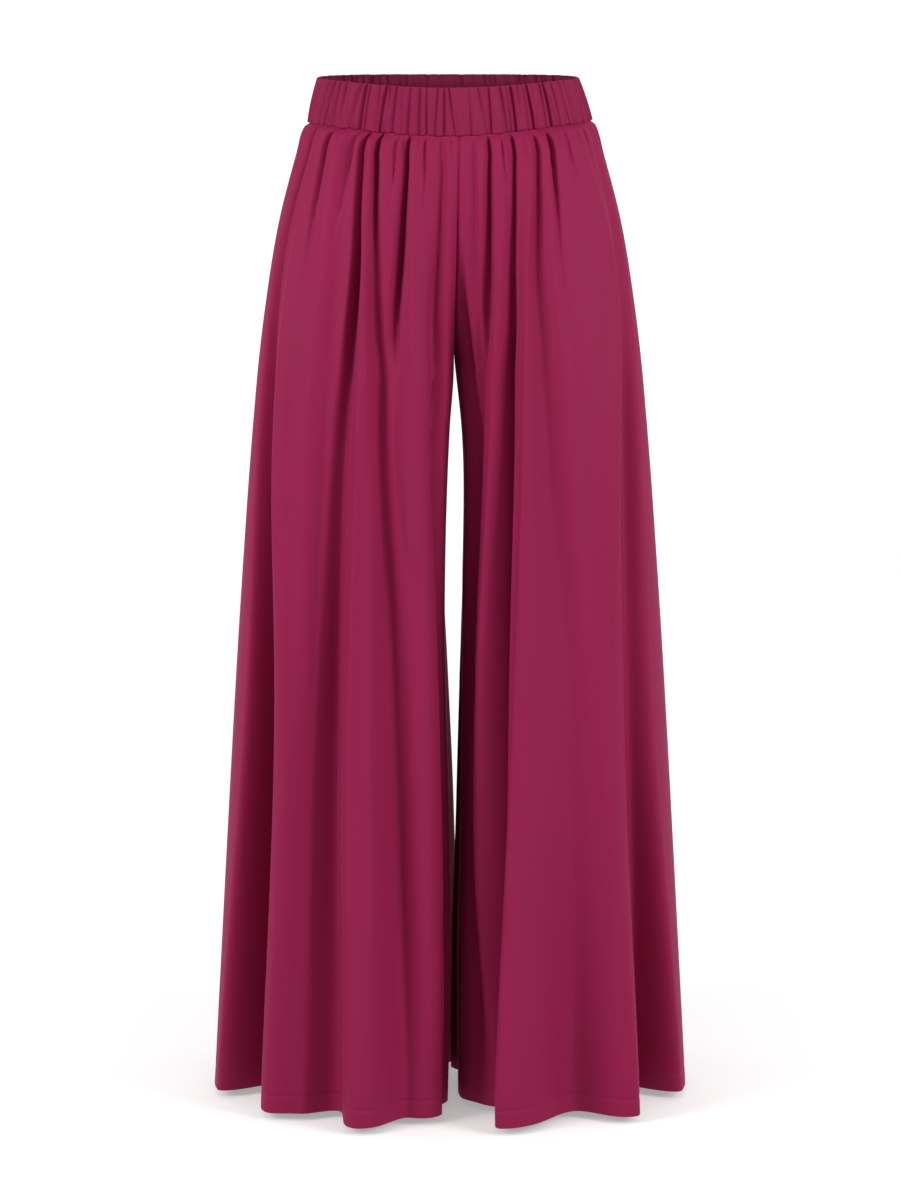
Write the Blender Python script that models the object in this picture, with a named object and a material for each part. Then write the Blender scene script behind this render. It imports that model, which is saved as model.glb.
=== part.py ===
"""Palazzo pants, filled out as worn: a gathered elastic waistband over four wide, flared leg panels.

Metres, +Z up. The front faces -Y and the wearer's left is +X. The origin is the middle of the
waistband's ring. A panel is a surface over two measures: the drop below the waist seam, and the
distance round the leg from the side seam. Folds push it out or in, and its inner side follows.
"""

from collections import namedtuple

import bpy
import numpy as np

# ---------------------------------------------------------------- driving sizes, in metres
MM = 0.001
SEAM_LEVEL = -0.021  # height of the waist seam at the sides
SIDE_LENGTH = 0.983  # waist seam to hem, straight down at the sides
RISE = 0.233  # waist seam to crotch
FRONT_DIP = 0.011  # how much lower the waist seam runs at the centre front
CENTRE_SHIFT = 0.009  # the centre front seam hangs this far to the wearer's left
CROTCH_SHIFT = 0.004  # and the crotch this far
SEAM_GAP = 0.0003  # between two pieces where they are sewn
PANEL_WALL = 0.0015
HEM_WALL = 0.0030  # the turned hem is doubled
HEM_TURN = 0.020  # how far up the hem is turned

BAND_TOP = 0.0215  # height of the band's top edge at the sides
BAND_FRONT_DIP = 0.0065  # how much lower the top edge runs at the front
BAND_BACK_DIP = 0.0040
BAND_WALL = 0.0024
BAND_GATHERS = 72
GATHER_COLUMNS = 4  # columns of the grid to a gather
GATHER_RISE = 0.0011  # half the height of a gather's ridge
UNEVEN_SPACING = ((5, 0.0030), (13, 0.0014))  # waves round the ring, and how far each shifts a gather
UNEVEN_HEIGHT = (7, 0.25)  # waves round the ring, and how much they vary the ridges' height

# up: share of the band's height. half_width, depth: the ring's half sizes there. shift: how far
# the ring sits to the wearer's left. gathered: share of GATHER_RISE.
BandRow = namedtuple("BandRow", "up half_width depth shift gathered")
BAND_ROWS = [
    BandRow(0.0, 0.1390, 0.0885, 0.0000, 0.8),
    BandRow(0.5, 0.1338, 0.0873, -0.0010, 1.0),
    BandRow(1.0, 0.1271, 0.0846, -0.0020, 0.8),
]

CREPE = dict(color=(0.296, 0.0185, 0.0742), roughness=0.58)
CREPE_SHADED = dict(color=(0.240, 0.0150, 0.0610), roughness=0.62)

# ---------------------------------------------------------------- sections of one leg
# A row for each drop below the waist seam. half_width: body's middle to side seam. middle: to where
# the leg's ring is deepest. front, back: depth there. side_back: how far back the side seam hangs.
# right_inner, left_inner: to the inseam of each leg. right_corner, left_corner: how square each leg's
# ring is on its inner side. face: side seam to where the cloth turns in between the legs.
Section = namedtuple(
    "Section",
    "drop half_width middle front back side_back right_inner left_inner"
    " right_corner left_corner face",
)
SECTIONS = [
    Section(0.000, 0.1405, 0.012, 0.088, 0.090, 0.000, 0.000, 0.000, 2.0, 2.0, 0.158),
    Section(0.008, 0.1445, 0.016, 0.092, 0.094, 0.000, 0.000, 0.000, 2.1, 2.0, 0.164),
    Section(0.030, 0.1505, 0.028, 0.097, 0.100, 0.000, 0.000, 0.000, 2.6, 2.1, 0.174),
    Section(0.090, 0.1665, 0.056, 0.105, 0.115, 0.000, 0.000, 0.000, 4.0, 2.5, 0.194),
    Section(0.180, 0.1822, 0.084, 0.110, 0.124, 0.000, 0.000, 0.000, 5.5, 2.9, 0.212),
    Section(0.233, 0.1890, 0.095, 0.112, 0.124, 0.000, -0.004, 0.004, 5.5, 3.0, 0.224),
    Section(0.300, 0.1955, 0.101, 0.113, 0.122, 0.001, 0.000, 0.011, 5.0, 3.0, 0.231),
    Section(0.478, 0.2095, 0.109, 0.113, 0.122, 0.006, 0.005, 0.012, 4.5, 3.0, 0.245),
    Section(0.720, 0.2253, 0.116, 0.114, 0.126, 0.014, 0.000, 0.010, 4.0, 3.0, 0.262),
    Section(0.850, 0.2332, 0.120, 0.115, 0.130, 0.020, -0.001, 0.007, 3.8, 3.0, 0.273),
    Section(0.983, 0.2412, 0.124, 0.116, 0.134, 0.026, 0.002, 0.008, 3.8, 3.0, 0.283),
]
OUTER_CORNER = 2.15  # how square the ring is towards the side seam; 2 is an ellipse
FRONT_RISE_CORNER = 2.3  # how squarely the rise seam turns under between the legs
BACK_RISE_CORNER = 2.2
DEEPEST_CUT = 0.9995  # the cut-off quarter ring keeps at least this little of its width

ROW_DROPS = np.array(
    [0, 12, 35, 80, 140, 190, 217, 233, 290, 390, 510, 640, 780, 955, 963, 983]
) * MM
COLUMN_WIDTH = 0.0062  # about how far apart the columns of a panel's grid are
LEAST_COLUMN = 0.0012  # and at least this far
FEWEST_COLUMNS = 2  # from one fold's line to the next

# ---------------------------------------------------------------- folds
# at: distance from the side seam, and height: how far out (+) or in (-), both in mm at the
# STATIONS. outer, inner: half widths in mm towards the side seam and the inseam, as (top, hem).
# lean: degrees by which the push turns from straight out towards the inseam.
Fold = namedtuple("Fold", "at height outer inner lean")
STATIONS = np.array([0.020, 0.120, 0.270, 0.550, 0.950])

# A short tuck under the waist seam. at, depth, half: in mm at the seam. length: where it has faded.
Gather = namedtuple("Gather", "at depth half length")

FRONT_RIGHT_FOLDS = [
    Fold((44, 49, 64, 90, 82), (-8, -9, -19, -42, -70), (8, 46), (7, 56), 25),
    Fold((62, 75, 90, 115, 126), (2, 3, 6, 9, 4), (11, 16), (14, 34), 0),
    Fold((70, 93, 110, 123, 130), (-8, -2, 0, 0, 0), (7, 14), (7, 16), 0),
    Fold((84, 112, 127, 140, 150), (2, 3, 4, 4, 0), (12, 24), (13, 26), 0),
    Fold((100, 130, 144, 152, 176), (-2, -3, -6, -10, -10), (16, 50), (14, 34), 0),
    Fold((110, 147, 163, 175, 204), (-11, -16, -15, -23, -25), (8, 44), (8, 14), -8),
    Fold((117, 153, 175, 190, 220), (0, 2, 9, 18, 20), (7, 14), (9, 26), 0),
    Fold((123, 159, 188, 212, 244), (4, 6, 8, 20, 30), (7, 34), (7, 36), -8),
    Fold((131, 167, 197, 232, 284), (-11, -7, -13, -19, -16), (8, 40), (8, 40), 0),
    Fold((140, 178, 204, 246, 286), (3, 2, 0, 0, 0), (9, 16), (9, 16), 0),
    Fold((158, 190, 209, 252, 288), (-12, -16, 3, 0, 0), (7, 24), (7, 12), -8),
    Fold((167, 202, 231, 262, 290), (3, 5, 8, 10, 8), (7, 30), (14, 36), 0),
    Fold((189, 224, 252, 298, 330), (-7, -12, -12, -22, -14), (9, 14), (8, 34), 0),
    Fold((197, 236, 262, 306, 336), (2, 3, 2, 0, 0), (9, 26), (9, 30), 0),
]
FRONT_RIGHT_GATHERS = [
    Gather(19, 2.5, 7, 0.10),
    Gather(46, 3.0, 7, 0.09),
    Gather(77, 3.0, 7, 0.09),
    Gather(93, 3.5, 6, 0.07),
    Gather(129, 3.5, 6, 0.08),
    Gather(161, 3.0, 7, 0.12),
]
FRONT_LEFT_FOLDS = [
    Fold((36, 48, 73, 98, 84), (-2, -6, -16, -22, -60), (14, 44), (12, 54), 25),
    Fold((60, 66, 96, 116, 136), (1.5, 3, 5, 7, 14), (11, 18), (14, 42), 0),
    Fold((97, 126, 138, 150, 160), (-12, -2, 0, 0, 0), (7, 16), (7, 20), 0),
    Fold((106, 138, 151, 158, 175), (3, 4, 3, 2, 0), (10, 20), (10, 20), 0),
    Fold((113, 148, 161, 166, 190), (-12, -12, -4, -4, -22), (7, 46), (7, 42), 0),
    Fold((122, 160, 187, 214, 250), (4, 6, 10, 18, 40), (10, 44), (7, 22), 20),
    Fold((136, 175, 207, 240, 279), (-12, -16, -22, -35, -36), (7, 16), (7, 40), 12),
    Fold((151, 189, 221, 260, 300), (3, 4, 6, 8, -8), (9, 26), (8, 24), 0),
    Fold((161, 199, 242, 290, 318), (-12, -16, -17, -24, -16), (7, 24), (7, 34), 0),
    Fold((170, 208, 244, 300, 330), (3, 3, 0, 0, 0), (10, 18), (10, 18), 0),
    Fold((177, 216, 252, 300, 330), (-6, -7, -6, 0, 0), (7, 14), (8, 14), 0),
    Fold((190, 232, 264, 310, 340), (0, -4, -18, -16, -4), (10, 30), (12, 30), 0),
]
FRONT_LEFT_GATHERS = [
    Gather(14, 2.5, 7, 0.10),
    Gather(48, 3.0, 8, 0.10),
    Gather(70, 3.0, 7, 0.09),
    Gather(82, 3.5, 7, 0.12),
    Gather(139, 3.5, 6, 0.09),
]
BACK_RIGHT_FOLDS = [
    Fold((36, 56, 78, 95, 98), (-3, -6, -12, -24, -38), (11, 32), (10, 34), 10),
    Fold((58, 86, 112, 136, 142), (1.5, 4, 6, 10, 18), (9, 26), (9, 28), 0),
    Fold((82, 114, 146, 172, 184), (-12, -16, -16, -20, -28), (7, 28), (7, 24), 0),
    Fold((101, 138, 176, 210, 228), (2.5, 5, 9, 16, 28), (8, 26), (9, 34), -15),
    Fold((123, 163, 206, 248, 272), (-12, -16, -16, -20, -26), (7, 30), (7, 30), 0),
    Fold((146, 190, 238, 286, 314), (2, 5, 6, 9, 16), (9, 28), (9, 30), 0),
    Fold((166, 216, 280, 336, 358), (-10, -10, -8, -8, -8), (7, 28), (7, 26), 0),
]
BACK_RIGHT_GATHERS = [
    Gather(18, 1.8, 7, 0.10),
    Gather(50, 1.8, 7, 0.09),
    Gather(70, 2.0, 6, 0.12),
    Gather(93, 1.8, 6, 0.08),
    Gather(112, 2.0, 6, 0.11),
    Gather(136, 1.8, 6, 0.08),
    Gather(156, 2.0, 6, 0.12),
]
BACK_LEFT_FOLDS = [
    Fold((42, 62, 84, 104, 92), (-3, -7, -14, -26, -42), (11, 36), (11, 38), 10),
    Fold((66, 96, 124, 148, 150), (2, 4, 7, 11, 22), (9, 28), (10, 30), 0),
    Fold((88, 122, 154, 184, 196), (-12, -16, -15, -18, -26), (7, 26), (7, 26), 0),
    Fold((110, 150, 190, 226, 244), (2, 6, 8, 14, 24), (9, 28), (8, 26), 15),
    Fold((130, 174, 218, 260, 286), (-12, -16, -18, -21, -28), (7, 26), (7, 32), 0),
    Fold((152, 198, 248, 298, 326), (1.5, 4, 6, 8, 14), (9, 28), (9, 28), 0),
    Fold((170, 222, 276, 330, 352), (-8, -10, -7, -7, -8), (7, 24), (7, 24), 0),
]
BACK_LEFT_GATHERS = [
    Gather(22, 1.8, 7, 0.11),
    Gather(56, 1.8, 7, 0.09),
    Gather(77, 2.0, 6, 0.10),
    Gather(99, 2.0, 6, 0.12),
    Gather(120, 1.8, 6, 0.08),
    Gather(142, 2.0, 6, 0.10),
    Gather(165, 1.8, 7, 0.10),
]
FULL_FOLD_DROP = 0.013  # folds grow from the seam line to their full height over this drop
SEWN_SHARE = 0.30  # share of a fold's height that is left at the seam line
FLAT_EDGE = 0.008  # folds flatten out over this distance from a seam

# side: +1 wearer's left, -1 right. face: -1 front, +1 back.
Panel = namedtuple("Panel", "name side face folds gathers")
PANELS = [
    Panel("front_right", -1, -1, FRONT_RIGHT_FOLDS, FRONT_RIGHT_GATHERS),
    Panel("front_left", 1, -1, FRONT_LEFT_FOLDS, FRONT_LEFT_GATHERS),
    Panel("back_right", -1, 1, BACK_RIGHT_FOLDS, BACK_RIGHT_GATHERS),
    Panel("back_left", 1, 1, BACK_LEFT_FOLDS, BACK_LEFT_GATHERS),
]


# ---------------------------------------------------------------- curves
def through(stations, values, at):
    """A smooth curve through a table: cubic pieces that take their slopes from the rows beside."""
    stations = np.asarray(stations, float)
    values = np.asarray(values, float)
    slopes = np.gradient(values, stations)
    low = np.clip(np.searchsorted(stations, at, side="right") - 1, 0, len(stations) - 2)
    span = stations[low + 1] - stations[low]
    t = np.clip((at - stations[low]) / span, 0, 1)
    return (
        (1 + 2 * t) * (1 - t) ** 2 * values[low]
        + t * (1 - t) ** 2 * span * slopes[low]
        + t * t * (3 - 2 * t) * values[low + 1]
        + t * t * (t - 1) * span * slopes[low + 1]
    )


def section(column, drop):
    """One column of SECTIONS at any drop."""
    drops = [row.drop for row in SECTIONS]
    return through(drops, [getattr(row, column) for row in SECTIONS], drop)


def ease(x):
    """0 below 0, 1 above 1, and level at both ends."""
    x = np.clip(x, 0, 1)
    return x * x * (3 - 2 * x)


# ---------------------------------------------------------------- leg panels
def half_rings(side, face, drops, samples=900):
    """Points x, y round one panel's half of the leg, from the side seam to its inner edge.

    Each row is two quarters of a superellipse that meet at the leg's middle. The outer one starts
    at the side seam. Below the crotch the inner one ends at the inseam. Above it, the inner one is
    stretched and cut off so that it ends on the rise seam, which is the same for both legs.
    """
    drop = drops[:, None]
    leg = "left" if side > 0 else "right"
    half_width = section("half_width", drop)
    middle = section("middle", drop)
    depth = section("front" if face < 0 else "back", drop)
    corner = section(leg + "_corner", drop)
    fallen = np.clip(drop / RISE, 0, 1)
    shift = CENTRE_SHIFT if face < 0 else 0
    rise_seam = side * (shift * (1 - fallen) + CROTCH_SHIFT * fallen)
    edge = np.where(drop < RISE, rise_seam, section(leg + "_inner", drop)) + SEAM_GAP / 2
    turn_under = FRONT_RISE_CORNER if face < 0 else BACK_RISE_CORNER
    edge_depth = np.minimum((1 - fallen**turn_under) ** (1 / turn_under), DEEPEST_CUT)
    cut = (1 - edge_depth**corner) ** (1 / corner)
    start = np.arccos(cut ** (corner / 2))
    turn = start + (np.pi - start) * np.linspace(1, 0, samples) ** 2
    inwards = np.cos(turn) > 0
    radius = np.where(inwards, (middle - edge) / cut, half_width - middle)
    power = np.where(inwards, corner, OUTER_CORNER)
    x = middle - radius * np.sign(np.cos(turn)) * np.abs(np.cos(turn)) ** (2 / power)
    out = np.abs(np.sin(turn)) ** (2 / power)
    back_set = section("side_back", drop) * ((x - edge) / (half_width - edge)) ** 2
    return side * x, face * depth * out + back_set, out


def fold_line(fold, drop):
    """How far from the side seam a fold runs: a share of the face that changes smoothly."""
    share = np.array(fold.at) * MM / section("face", STATIONS)
    return through(STATIONS, share, drop) * section("face", drop)


def fold_push(panel, away, drop):
    """How far the folds push each point outwards, and along the ring towards the inseam.

    A fold is a cosine bump, wider on one side than the other.
    """
    out = np.zeros_like(away)
    slide = np.zeros_like(away)
    hemward = drop / SIDE_LENGTH
    for fold in panel.folds:
        offset = away - fold_line(fold, drop)
        outer = fold.outer[0] + (fold.outer[1] - fold.outer[0]) * hemward
        inner = fold.inner[0] + (fold.inner[1] - fold.inner[0]) * hemward
        half = np.where(offset < 0, outer, inner) * MM
        bump = 0.5 + 0.5 * np.cos(np.pi * np.clip(offset / half, -1, 1))
        push = through(STATIONS, fold.height, drop) * MM * bump
        out += push * np.cos(np.radians(fold.lean))
        slide += push * np.sin(np.radians(fold.lean))
    for gather in panel.gathers:
        centre = gather.at * MM * section("face", drop) / section("face", 0.0)
        bump = 0.5 + 0.5 * np.cos(np.pi * np.clip((away - centre) / (gather.half * MM), -1, 1))
        out -= gather.depth * MM * bump * (1 - ease(drop / gather.length))
    return out, slide


def along(points):
    """Distance travelled along each row of a grid of points, from its first point."""
    steps = np.linalg.norm(np.diff(points, axis=1), axis=-1)
    return np.concatenate([np.zeros((len(points), 1)), np.cumsum(steps, axis=1)], axis=1)


def between(wanted, measured, values):
    """Each row's values, read at the wanted places along its measured ones."""
    return np.array([np.interp(*row) for row in zip(wanted, measured, values)])


def column_places(panel, drop, first, last):
    """How far from the side seam a panel's columns lie, from the first to the last.

    Each fold's line has a column of its own from waist to hem, and the others lie evenly between
    these, so that no fold crosses from column to column.
    """
    lines = [first] + [fold_line(fold, drop) for fold in panel.folds] + [last]
    lines = np.concatenate(lines, axis=1)
    wanted = np.round(np.diff(lines, axis=1).mean(axis=0) / COLUMN_WIDTH)
    counts = np.maximum(wanted, FEWEST_COLUMNS).astype(int)
    least = np.concatenate([[0], np.cumsum(counts)]) * LEAST_COLUMN
    lines = np.maximum.accumulate(np.minimum(lines - least, last - least[-1]), axis=1) + least
    stretches = zip(lines.T[:-1], lines.T[1:], counts)
    places = [np.linspace(near, far, count, endpoint=False) for near, far, count in stretches]
    return np.concatenate(places + [last.T]).T


def panel_points(panel, drops):
    """The grid of a panel's outer points: a row for each drop, from the side seam inwards."""
    x, y, out = half_rings(panel.side, panel.face, drops)
    travelled = along(np.stack([x, y], axis=-1))
    width = travelled[:, -1:]
    drop = drops[:, None]
    first = np.full_like(drop, SEAM_GAP / 2)
    away = column_places(panel, drop, first, width - np.where(drop < RISE, 0, SEAM_GAP / 2))
    along_x = between(away, travelled, np.gradient(x, axis=1) / np.gradient(travelled, axis=1))
    along_y = between(away, travelled, np.gradient(y, axis=1) / np.gradient(travelled, axis=1))
    facing = -panel.side * panel.face
    push, slide = fold_push(panel, away, drop)
    held = SEWN_SHARE + (1 - SEWN_SHARE) * ease(drop / FULL_FOLD_DROP)
    held = held * ease(away / FLAT_EDGE) * ease((width - away) / FLAT_EDGE)
    push, slide = push * held, slide * held
    dip = (FRONT_DIP if panel.face < 0 else 0) * between(away, travelled, out) ** 2
    return np.stack(
        [
            between(away, travelled, x) + facing * -along_y * push + along_x * slide,
            between(away, travelled, y) + facing * along_x * push + along_y * slide,
            SEAM_LEVEL - dip - drop * (1 - dip / SIDE_LENGTH),
        ],
        axis=-1,
    )


# ---------------------------------------------------------------- waistband
def band_points():
    """The grid of the waistband's outer points: a row for each height, once round from the back.

    The ring is an ellipse. Its gathers are upright waves of uneven width, so a column's place is
    worked out from its gather's number.
    """
    number = np.linspace(0, 1, BAND_GATHERS * GATHER_COLUMNS + 1)
    turn = number + sum(size * np.sin(2 * np.pi * waves * number) for waves, size in UNEVEN_SPACING)
    wave = np.cos(2 * np.pi * BAND_GATHERS * number)
    wave = wave * (1 + UNEVEN_HEIGHT[1] * np.sin(2 * np.pi * UNEVEN_HEIGHT[0] * number))
    up, half_width, depth, shift, gathered = np.array(BAND_ROWS).T[:, :, None]
    end_gap = SEAM_GAP / 2 / half_width
    angle = end_gap + 2 * (np.pi - end_gap) * turn
    rise = GATHER_RISE * gathered * wave
    x = (half_width + rise) * np.sin(angle) + shift
    y = (depth + rise) * np.cos(angle)
    front = np.clip(-np.cos(angle), 0, 1) ** 2
    back = np.clip(np.cos(angle), 0, 1) ** 2
    bottom = SEAM_LEVEL + SEAM_GAP - FRONT_DIP * front
    top = BAND_TOP - BAND_FRONT_DIP * front - BAND_BACK_DIP * back
    return np.stack([x, y, bottom + (top - bottom) * up], axis=-1)


# ---------------------------------------------------------------- making the pieces
def cloth_material(name, color, roughness):
    material = bpy.data.materials.new(name)
    material.use_nodes = True
    shader = material.node_tree.nodes["Principled BSDF"]
    shader.inputs["Base Color"].default_value = (*color, 1)
    shader.inputs["Roughness"].default_value = roughness
    shader.inputs["Metallic"].default_value = 0
    shader.inputs["Sheen Weight"].default_value = 0.2
    return material


def unit(vectors):
    return vectors / np.linalg.norm(vectors, axis=-1, keepdims=True)


def headings(points, axis):
    """At each point of a grid, the way its line runs: halfway between the steps before and after."""
    steps = unit(np.diff(points, axis=axis))
    before = np.concatenate([np.take(steps, [0], axis), steps], axis)
    after = np.concatenate([steps, np.take(steps, [-1], axis)], axis)
    return before + after


def outward(points, turned):
    """The unit normal at each point of a grid, from the lines along its rows and columns."""
    normal = np.cross(headings(points, 1), headings(points, 0))
    return unit(-normal if turned else normal)


def wall_object(name, outer, inner, turned, collection, material):
    """A closed wall between two grids of points; turned swaps which side faces out."""
    rows, columns = outer.shape[:2]
    front = np.arange(rows * columns).reshape(rows, columns)
    back = front + rows * columns

    def strip(near, far):
        return np.stack([near[:-1], near[1:], far[1:], far[:-1]], axis=-1).reshape(-1, 4)

    def sheet(grid):
        corners = [grid[:-1, :-1], grid[:-1, 1:], grid[1:, 1:], grid[1:, :-1]]
        return np.stack(corners, axis=-1).reshape(-1, 4)

    faces = np.concatenate(
        [
            sheet(front),
            sheet(back)[:, [0, 3, 2, 1]],  # faces the other way, and splits on the same diagonal
            strip(back[0], front[0]),
            strip(front[-1], back[-1]),
            strip(front[:, 0], back[:, 0]),
            strip(back[:, -1], front[:, -1]),
        ]
    )
    if turned:
        faces = faces[:, ::-1]
    points = np.concatenate([outer.reshape(-1, 3), inner.reshape(-1, 3)])
    mesh = bpy.data.meshes.new(name)
    mesh.from_pydata(points.tolist(), [], faces.tolist())
    mesh.shade_smooth()
    mesh.set_sharp_from_angle(angle=np.radians(60))
    mesh.materials.append(material)
    piece = bpy.data.objects.new(name, mesh)
    collection.objects.link(piece)
    return piece


def leg_panel(panel, collection):
    """One panel. Its inner points lie a wall's thickness in, and square to the seams at its edges."""
    outer = panel_points(panel, ROW_DROPS)
    turned = panel.side * panel.face > 0
    normal = outward(outer, turned)
    normal[:, 0, 1] = 0
    normal[ROW_DROPS <= RISE, -1, 0] = 0
    normal[ROW_DROPS >= RISE, -1, 1] = 0
    thickness = np.where(ROW_DROPS > SIDE_LENGTH - HEM_TURN - MM, HEM_WALL, PANEL_WALL)
    inner = outer - unit(normal) * thickness[:, None, None]
    material = cloth_material("crepe_" + panel.name, **CREPE)
    return wall_object(panel.name, outer, inner, turned, collection, material)


def waistband(collection):
    """The band's casing, bent round into a ring whose ends meet at the centre back."""
    outer = band_points()
    normal = outward(outer, True)
    normal[:, [0, -1], 0] = 0
    normal[..., 2] = 0
    inner = outer - unit(normal) * BAND_WALL
    material = cloth_material("crepe_waistband", **CREPE_SHADED)
    return wall_object("waistband", outer, inner, True, collection, material)


def main():
    for old in list(bpy.data.objects):
        bpy.data.objects.remove(old)
    collection = bpy.data.collections.new("palazzo_pants")
    bpy.context.scene.collection.children.link(collection)
    waistband(collection)
    for panel in PANELS:
        leg_panel(panel, collection)


main()
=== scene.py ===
"""Looks of a pair of palazzo pants: plain crepe, a gathered elastic waistband and four leg panels.

Metres, +Z up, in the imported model's frame: the front faces -Y, the wearer's left is +X, and the
origin is the middle of the waistband's ring.
"""

from collections import namedtuple

import bpy
import numpy as np
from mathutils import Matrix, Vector


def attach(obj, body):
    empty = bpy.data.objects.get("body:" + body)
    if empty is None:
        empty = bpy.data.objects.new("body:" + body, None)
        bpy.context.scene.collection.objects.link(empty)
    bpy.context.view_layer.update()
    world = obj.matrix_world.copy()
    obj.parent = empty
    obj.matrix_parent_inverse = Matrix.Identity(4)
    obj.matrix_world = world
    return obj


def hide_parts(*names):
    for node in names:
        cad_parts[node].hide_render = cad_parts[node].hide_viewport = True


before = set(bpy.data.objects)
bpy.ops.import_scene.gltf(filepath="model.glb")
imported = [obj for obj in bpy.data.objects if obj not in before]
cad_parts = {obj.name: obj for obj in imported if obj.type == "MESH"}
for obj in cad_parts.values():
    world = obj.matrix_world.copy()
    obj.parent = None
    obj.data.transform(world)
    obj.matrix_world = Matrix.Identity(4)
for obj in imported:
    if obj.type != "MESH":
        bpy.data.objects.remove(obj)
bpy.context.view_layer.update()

# ---------------------------------------------------------------------------------------- camera
# A long lens 4.5 m in front of the garment, a little above it and looking down at its middle.
CAMERA_DISTANCE = 4.5
CAMERA_FALL = np.radians(10.5)
AIM = Vector((0, 0, -0.499))

lens = bpy.data.cameras.new("camera")
lens.lens = 135
lens.sensor_width = 36
camera = bpy.data.objects.new("camera", lens)
camera.location = AIM + CAMERA_DISTANCE * Vector((0, -np.cos(CAMERA_FALL), np.sin(CAMERA_FALL)))
camera.rotation_euler = (AIM - camera.location).to_track_quat("-Z", "Y").to_euler()
bpy.context.scene.collection.objects.link(camera)
bpy.context.scene.camera = camera

# ---------------------------------------------------------------------------------------- studio
# A white floor in a white room that glows from above more than from below. Two soft boxes add to
# it, in front on either side and above the waist, and the one on the wearer's right is a little the
# stronger. The floor lies just under the lowest fold of the hem.
FLOOR_LEVEL = -1.012
FLOOR_HALF = 3.2
FLOOR_WHITE = 0.86
FLOOR_ROUGHNESS = 0.9
FLOOR_GLOSS = 0.1
FLOOR_GLOW = 0.34  # light that the floor gives by itself, so that it stays white under soft light
FAR_GLOW = 1.28  # far from the cloth it gives this many times that light
GLOW_START = 0.2  # how far from the middle that glow starts to grow
GLOW_END = 1.8  # and from where it is full
ROOM_ABOVE = 0.72  # how brightly the room lights the cloth, straight from above
ROOM_BELOW = 0.18  # and straight from below
ROOM_SEEN = 1.15  # how bright it looks itself

# size: side of the square box in metres. power: in watts.
SoftBox = namedtuple("SoftBox", "name place aim size power")
SOFT_BOXES = [
    SoftBox("left_box", (-2.1, -1.5, 0.45), (0, 0, -0.3), 1.1, 35.5),
    SoftBox("right_box", (2.1, -1.5, 0.45), (0, 0, -0.3), 1.1, 33.0),
]


def add_node(tree, kind, settings, sockets):
    """A node of this kind. Its settings come first, and then a value or a link for each socket."""
    node = tree.nodes.new(kind)
    for key, value in settings.items():
        setattr(node, key, value)
    for key, value in sockets.items():
        link = getattr(value, "socket", value)
        if isinstance(link, bpy.types.NodeSocket):
            tree.links.new(link, node.inputs[key])
        else:
            node.inputs[key].default_value = value
    return node


def floor_finish():
    """Matt white that glows a little, and more the further it is from the middle of the floor."""
    material = bpy.data.materials.new("floor_white")
    material.use_nodes = True
    shader = material.node_tree.nodes["Principled BSDF"]
    shader.inputs["Base Color"].default_value = (FLOOR_WHITE, FLOOR_WHITE, FLOOR_WHITE, 1)
    shader.inputs["Roughness"].default_value = FLOOR_ROUGHNESS
    shader.inputs["Specular IOR Level"].default_value = FLOOR_GLOSS
    shader.inputs["Emission Strength"].default_value = FLOOR_GLOW
    tree = material.node_tree
    place = add_node(tree, "ShaderNodeTexCoord", {}, {})
    away = add_node(
        tree,
        "ShaderNodeVectorMath",
        {"operation": "LENGTH"},
        {"Vector": place.outputs["Object"]},
    )
    growing = add_node(
        tree,
        "ShaderNodeMapRange",
        {},
        {
            "Value": away.outputs["Value"],
            "From Min": GLOW_START,
            "From Max": GLOW_END,
            "To Min": 1.0,
            "To Max": FAR_GLOW,
        },
    )
    tree.links.new(growing.outputs["Result"], shader.inputs["Emission Color"])
    return material


bpy.ops.mesh.primitive_plane_add(size=2 * FLOOR_HALF, location=(0, 0, FLOOR_LEVEL))
floor = bpy.context.object
floor.name = "studio_floor"
floor.data.materials.append(floor_finish())
floor.visible_diffuse = False  # the floor throws no light on the cloth

for box in SOFT_BOXES:
    light = bpy.data.lights.new(box.name, "AREA")
    light.size = box.size
    light.energy = box.power
    lamp = bpy.data.objects.new(box.name, light)
    lamp.location = box.place
    lamp.rotation_euler = (Vector(box.aim) - lamp.location).to_track_quat("-Z", "Y").to_euler()
    bpy.context.scene.collection.objects.link(lamp)

room = bpy.data.worlds.new("white_room")
room.use_nodes = True
room.node_tree.nodes.clear()
seen = add_node(room.node_tree, "ShaderNodeLightPath", {}, {})
place = add_node(room.node_tree, "ShaderNodeTexCoord", {}, {})
height = add_node(
    room.node_tree, "ShaderNodeSeparateXYZ", {}, {"Vector": place.outputs["Generated"]}
)
light_from = add_node(
    room.node_tree,
    "ShaderNodeMapRange",
    {},
    {
        "Value": height.outputs["Z"],
        "From Min": -1.0,
        "From Max": 1.0,
        "To Min": ROOM_BELOW,
        "To Max": ROOM_ABOVE,
    },
)
glow = add_node(
    room.node_tree,
    "ShaderNodeMapRange",
    {},
    {
        "Value": seen.outputs["Is Camera Ray"],
        "To Min": light_from.outputs["Result"],
        "To Max": ROOM_SEEN,
    },
)
sky = add_node(
    room.node_tree,
    "ShaderNodeBackground",
    {},
    {"Color": (1, 1, 1, 1), "Strength": glow.outputs["Result"]},
)
add_node(room.node_tree, "ShaderNodeOutputWorld", {}, {"Surface": sky.outputs["Background"]})
bpy.context.scene.world = room
bpy.context.scene.view_settings.view_transform = "Standard"

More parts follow.
